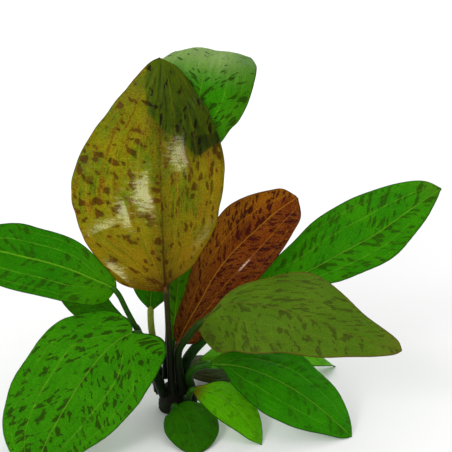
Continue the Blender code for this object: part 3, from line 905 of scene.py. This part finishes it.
# The right leaf
# A long bright green leaf on a stout stalk that grows out from behind the red one, its two
# halves raised a little from the midrib.
RIGHT = dict(
    SLIM, seed=6.0,
    stalk=[(9, 2.6, 13.5), (7.4, 4.4, 25.5), (11.8, 5.8, 34), (19.5, 7.2, 42), (30.2, 9.2, 52)],
    blade=[(38.8, 12, 60.6), (53, 15, 68.6), (80, 19, 79.3), (98.7, 22, 89.2), (116.4, 25, 98.4),
           (132.8, 28, 110), (153, 31, 124)],
    left=[(0.1, 7), (0.2, 13), (0.3, 18.5), (0.43, 24), (0.57, 26), (0.69, 25), (0.8, 20.5),
          (0.9, 14.5), (0.97, 8)],
    right=[(0.15, 5), (0.39, 14), (0.5, 18), (0.64, 19), (0.75, 17), (0.88, 10), (0.96, 4.5)],
    edges=4, faces=(-0.3, -0.7, 0.65), stalk_width=5)
RIGHT_LOOK = dict(
    GREEN_LOOK, seed=6.0, slants=(0.9, 0.9), blotch_strength=0.75,
    blotch_zones=[(0.2, 0.6, 0.02)], tints=[("share", 0.88, 1.0, 0.5, ink(84, 118, 26))])

bright_stalk = stalk_skin("bright stalk skin", ink(10, 30, 2), ink(40, 118, 6),
                          ink(48, 116, 6), ink(24, 70, 3))
piece = grow_leaf("right_leaf", RIGHT, [RIGHT_LOOK], bright_stalk)
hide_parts("leaf_green_right")
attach(piece, "root")


# The olive-green leaf
# It crosses in front at the right, folded softly along its midrib, with grey-brown blotches
# and a reddish margin.
CROSSING = dict(
    SLIM, seed=7.0,
    stalk=[(6.4, -6.3, 13.2), (4.6, -7.4, 25), (4, -8.4, 40), (9, -10, 49.4)],
    blade=[(15.8, -12, 59), (28.6, -17, 72), (41.7, -22, 76.4), (60.5, -29, 75.3),
           (78.5, -35, 71.5), (93.8, -40, 66.7), (110, -45, 63), (124, -49, 60.3)],
    left=[(0.06, 1), (0.14, 3), (0.23, 10), (0.38, 21), (0.48, 27), (0.56, 27), (0.67, 21),
          (0.8, 14.5), (0.92, 8), (0.98, 4)],
    right=[(0.01, 13), (0.03, 19), (0.1, 24), (0.27, 28), (0.38, 28), (0.5, 23.5), (0.65, 19.5),
           (0.8, 12), (0.93, 6), (0.98, 3)],
    lobes=(0, 4), faces=(0.1, -0.7, 0.7), veins=(0.4, 0.75), groove=0.45, fold=-1.5, steady=0.1)
CROSSING_LOOK = dict(
    GREEN_LOOK, seed=7.0, slants=(2.0, 0.6),
    blotches=[(((2.2, 3.6), (3.6, 3.0)), 0.5, 0.765), (((0.9, 1.7), (1.6, 1.4)), 0.3, 0.76)],
    blotch_zones=[(0.6, 0.3, 0.02)], blotch=ink(60, 66, 12), blotch_strength=0.7,
    streak_size=(1.6, 1.8), mottle=0.5, drawn=0.9, fibres=0.6,
    main=ink(94, 132, 16), second=ink(84, 122, 10), streak=ink(60, 88, 4),
    veinlet=ink(120, 150, 40), net=0.2, line=ink(112, 130, 34), rib=ink(104, 112, 24),
    line_strength=0.6, veins=[(0.4, 0.5), (0.75, 0.3)], rim=ink(84, 64, 14),
    tints=[("inward", 1.8, 0.3, 0.5, ink(104, 92, 24)),
           ("share", 0.12, 0.0, 0.6, ink(60, 82, 2)),
           ("share", 0.85, 1.0, 0.4, ink(112, 104, 34))],
    roughness=0.5, shine=0.08, through=0.35)

dark_stalk = stalk_skin("dark stalk skin", ink(8, 16, 2), ink(26, 50, 4), ink(58, 80, 8),
                        ink(16, 28, 3))
piece = grow_leaf("olive_green_leaf", CROSSING, [CROSSING_LOOK], dark_stalk)
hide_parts("leaf_olive_right")
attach(piece, "root")


# The left leaf
# A long green leaf on a thin dark stalk from the rootstock's left side, with a bright midrib
# and one clear vein on each side.
LEFT = dict(
    SLIM, seed=8.0,
    stalk=[(-8.4, -2.4, 13), (-10, -5.5, 28), (-14.6, -8.4, 44), (-23.4, -12, 65.5)],
    blade=[(-30, -14, 80), (-40.4, -18, 87.7), (-50.8, -21, 94), (-63.7, -24, 100),
           (-76.3, -28, 105), (-89, -31, 109.6), (-103, -34, 113), (-117, -36, 115)],
    left=[(0.015, 9), (0.08, 13), (0.16, 15.5), (0.3, 18), (0.5, 18.5), (0.7, 17.5), (0.87, 10),
          (0.96, 4.5)],
    right=[(0.04, 5), (0.15, 10), (0.3, 15.5), (0.48, 17.5), (0.65, 17), (0.85, 11), (0.95, 4)],
    lobes=(3, 0), faces=(-0.1, -0.95, 0.35), tip_faces=(-0.1, -0.7, 0.7), stalk_width=3)
LEFT_LOOK = dict(
    GREEN_LOOK, seed=8.0, main=ink(34, 120, 0), second=ink(42, 128, 0), blotch_strength=0.7,
    rib_width=0.6, rib=ink(118, 186, 30), line_strength=0.85,
    tints=[("share", 0.4, 0.1, 0.7, ink(66, 136, 0))])

piece = grow_leaf("left_leaf", LEFT, [LEFT_LOOK], green_stalk)
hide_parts("leaf_green_left")
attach(piece, "root")


# The front right leaf
# A low green leaf on a thick bent stalk, which arches out from under the olive-green one down
# to the ground.
FRONT_RIGHT = dict(
    SLIM, seed=9.0,
    stalk=[(11.4, -3.2, 7), (11, -6.2, 17), (9.8, -9, 25.5), (13.5, -10.4, 31)],
    blade=[(19.8, -10.8, 33.4), (27.4, -13, 34.8), (36.4, -16, 35.4), (45.3, -19, 34.6),
           (57.4, -23, 31), (68.5, -26, 25.8), (79.6, -28, 18.2), (91, -31, 9), (101, -34, 0.3)],
    left=[(0.05, 5), (0.2, 13), (0.35, 20), (0.5, 23), (0.62, 22.5), (0.75, 19.5), (0.88, 13.5),
          (0.96, 7)],
    right=[(0.1, 2.5), (0.15, 7.5), (0.22, 14), (0.45, 22), (0.6, 22), (0.75, 17), (0.88, 10),
           (0.96, 5)],
    faces=(0.2, -0.6, 0.78), tip_faces=(0.3, -0.45, 0.82), stalk_width=4.4)
FRONT_RIGHT_LOOK = dict(
    GREEN_LOOK, seed=9.0, blotch_strength=0.5, main=ink(44, 140, 0), second=ink(54, 152, 0),
    tints=[("share", 0.5, 0.2, 0.7, ink(34, 106, 0)),
           ("share", 0.16, 0.05, 0.5, ink(70, 110, 6))])

piece = grow_leaf("front_right_leaf", FRONT_RIGHT, [FRONT_RIGHT_LOOK], green_stalk)
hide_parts("leaf_green_front_right")
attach(piece, "root")


# The two dark low leaves
# Old shaded leaves, darker and plainer, that grow from low on the rootstock: one under the
# left leaves, one in front of the crown.
REAR_LEFT = dict(
    SLIM, seed=10.0,
    stalk=[(-8, 7.4, 6), (-12.5, 11, 18), (-17, 14, 34)],
    blade=[(-20.5, 15.5, 45), (-30, 17, 52), (-45, 22, 58.5), (-60, 28, 68), (-73, 34, 77)],
    left=[(0.05, 1), (0.15, 5), (0.35, 13), (0.6, 13), (0.85, 7)],
    right=[(0.2, 1), (0.3, 3), (0.4, 7), (0.55, 10.5), (0.7, 10), (0.87, 6)],
    faces=(-0.2, -0.6, 0.75), stalk_width=2.6)
DARK_FRONT = dict(
    SLIM, seed=11.0,
    stalk=[(1.6, -11.2, 6)],
    blade=[(2, -16.4, 10.4), (5.2, -22, 10.8), (10.3, -34, 7.5), (15.6, -54, 0.45)],
    left=[(0.03, 4), (0.1, 9), (0.18, 14), (0.3, 17), (0.6, 16), (0.85, 9)],
    right=[(0.05, 5), (0.15, 9), (0.3, 12.5), (0.55, 14), (0.8, 10), (0.94, 5)],
    edges=-1, faces=(0.1, -0.6, 0.8), tip_faces=(0.1, -0.2, 1), stalk_width=3.6,
    uneven=0.4, wave=0.3)
DARK_LOOK = dict(
    GREEN_LOOK, seed=10.0, main=ink(48, 118, 0), second=ink(56, 126, 0), streak=ink(34, 92, 0),
    veinlet=ink(60, 126, 20), line=ink(70, 132, 24), rib=ink(70, 132, 24), blotch_strength=0.5)

for name, leaf, node in (("rear_left_leaf", REAR_LEFT, "leaf_green_rear_left"),
                         ("dark_front_leaf", DARK_FRONT, "leaf_dark_front")):
    piece = grow_leaf(name, leaf, [DARK_LOOK], green_stalk)
    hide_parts(node)
    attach(piece, "root")


# The two pale low leaves
# Low leaves of a lighter green, both arching down to the ground: one in front, browned near
# its foot, and one behind the front right leaf.
PALE_FRONT = dict(
    SLIM, seed=12.0,
    stalk=[(7.8, -9, 6)],
    blade=[(11.6, -13.4, 18.8), (19, -18, 21.2), (30.5, -24, 18.8), (41.5, -33, 10.8),
           (50.5, -43, 0.3)],
    left=[(0.05, 1.5), (0.13, 3.5), (0.2, 7.5), (0.3, 11.5), (0.5, 13), (0.7, 11), (0.88, 6)],
    right=[(0.05, 3), (0.2, 9), (0.4, 13), (0.65, 12), (0.88, 6)],
    edges=-1, faces=(0.2, -0.6, 0.8), tip_faces=(0.4, -0.3, 0.85), stalk_width=3.6,
    uneven=0.4, wave=0.3)
PALE_REAR = dict(
    SLIM, seed=13.0,
    stalk=[(7.6, 8.6, 6), (9.6, 10.6, 15)],
    blade=[(15, 12, 22), (26.2, 16, 25.8), (45, 24, 26), (66, 36, 21), (84.7, 47, 12.4),
           (98.3, 56, 0.3)],
    left=[(0.05, 5), (0.15, 10), (0.35, 15), (0.55, 15), (0.75, 11), (0.9, 6)],
    right=[(0.05, 5), (0.15, 10), (0.35, 15), (0.55, 15), (0.75, 11), (0.9, 6)],
    faces=(0.1, -0.4, 0.9), tip_faces=(0.3, 0, 0.95), stalk_width=3.4)
PALE_LOOK = dict(
    GREEN_LOOK, seed=12.0, main=ink(96, 186, 0), second=ink(108, 192, 2),
    streak=ink(78, 160, 0), blotch_strength=0.35)
BROWNED_LOOK = dict(PALE_LOOK, tints=[("share", 0.24, 0.06, 0.85, ink(120, 72, 16))])

for name, leaf, look, node in (
        ("pale_front_leaf", PALE_FRONT, BROWNED_LOOK, "leaf_pale_front"),
        ("pale_rear_leaf", PALE_REAR, PALE_LOOK, "leaf_pale_rear_right")):
    piece = grow_leaf(name, leaf, [look], green_stalk)
    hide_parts(node)
    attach(piece, "root")


# The two back leaves
# Leaves that lean away behind the plant: a green one on a tall yellowish stalk, and a low old
# one that has gone brown from its foot.
BEHIND = dict(
    SLIM, seed=14.0,
    stalk=[(-7.2, 5.6, 12.5), (-9.5, 9.5, 30), (-12, 13, 44)],
    blade=[(-12.6, 16, 54.5), (-12.5, 22, 65), (-11, 32, 76.6), (-8, 46, 90), (-5, 62, 98),
           (-3, 80, 100), (-2, 96, 94)],
    left=[(0.03, 3), (0.06, 6), (0.11, 9.5), (0.3, 19), (0.5, 22), (0.75, 17), (0.93, 7)],
    right=[(0.03, 4), (0.06, 8), (0.1, 12), (0.3, 19), (0.5, 21), (0.75, 16), (0.93, 7)],
    faces=(0, -0.9, 0.4), tip_faces=(0, 0.2, 1), stalk_width=3.8)
REAR = dict(
    SLIM, seed=15.0,
    stalk=[(1, 11.4, 6), (3, 18.5, 9.5)],
    blade=[(6.5, 24, 10), (14, 33, 10), (25, 43, 8.5), (37, 52, 5.5), (48, 60, 0.3)],
    left=[(0.05, 4), (0.2, 10), (0.45, 14), (0.7, 13), (0.9, 6)],
    right=[(0.05, 6), (0.2, 14), (0.45, 19), (0.7, 16), (0.9, 7)],
    faces=(0.1, -0.3, 1), tip_faces=(0.2, 0.2, 1), stalk_width=3.6)

yellow_stalk = stalk_skin("yellow stalk skin", ink(16, 30, 3), ink(124, 138, 44),
                          ink(84, 120, 20), ink(96, 112, 30))
BACK_LOOK = dict(GREEN_LOOK, seed=14.0, main=ink(32, 104, 0), second=ink(42, 120, 0))
OLD_LOOK = dict(
    DARK_LOOK, seed=15.0, main=ink(40, 62, 4), second=ink(62, 58, 8),
    tints=[("share", 0.5, 0.1, 0.8, ink(56, 36, 8))])

for name, leaf, look, stalk, node in (
        ("leaning_leaf", BEHIND, BACK_LOOK, yellow_stalk, "leaf_green_behind"),
        ("low_back_leaf", REAR, OLD_LOOK, dark_stalk, "leaf_green_rear")):
    piece = grow_leaf(name, leaf, [look], stalk)
    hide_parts(node)
    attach(piece, "root")


# The studio
# A plain white floor under an even white sky, a soft light from the upper left in front and
# another from behind, and the camera a little above the plant.
CAMERA_PLACE = (0.0308, -0.71374, 0.37216)
CAMERA_TARGET = (0.0308, 0.0, 0.11238)
LENS = 109.99
LIGHTS_TARGET = (0.0, 0.0, 0.1)
LIGHTS = [
    # name, place, power, size
    ("front light", (-0.55, -0.95, 0.75), 5.0, 0.35),
    ("back light", (0.25, 1.1, 1.0), 5.0, 0.8),
]
SKY_STRENGTH = 0.95
FLOOR_COLOUR = (0.86, 0.86, 0.86, 1.0)
FLOOR_SIZE = 12.0


def look_at(thing, target):
    towards = Vector(target) - Vector(thing.location)
    thing.rotation_euler = towards.to_track_quat("-Z", "Y").to_euler()


select()
bpy.ops.mesh.primitive_plane_add(size=FLOOR_SIZE, location=(0.0, 0.0, 0.0))
floor = start_piece("floor")
floor_paint = Paint("floor white")
floor_shader = floor_paint.add("BsdfPrincipled", {
    "Base Color": FLOOR_COLOUR, "Roughness": 0.9, "Specular IOR Level": 0.1})
floor.data.materials.append(floor_paint.finish(floor_shader))

scene = bpy.context.scene
scene.view_settings.view_transform = "Standard"
scene.world = bpy.data.worlds.new("white sky")
scene.world.use_nodes = True
sky = scene.world.node_tree.nodes["Background"]
sky.inputs["Color"].default_value = ink(255, 255, 255)
sky.inputs["Strength"].default_value = SKY_STRENGTH

for name, place, power, size in LIGHTS:
    bpy.ops.object.light_add(type="AREA", location=place)
    light = bpy.context.object
    light.name = name
    light.data.energy = power
    light.data.size = size
    look_at(light, LIGHTS_TARGET)

bpy.ops.object.camera_add(location=CAMERA_PLACE)
camera = bpy.context.object
look_at(camera, CAMERA_TARGET)
camera.data.lens = LENS
camera.data.sensor_width = 36.0
camera.data.clip_end = 20.0
scene.camera = camera
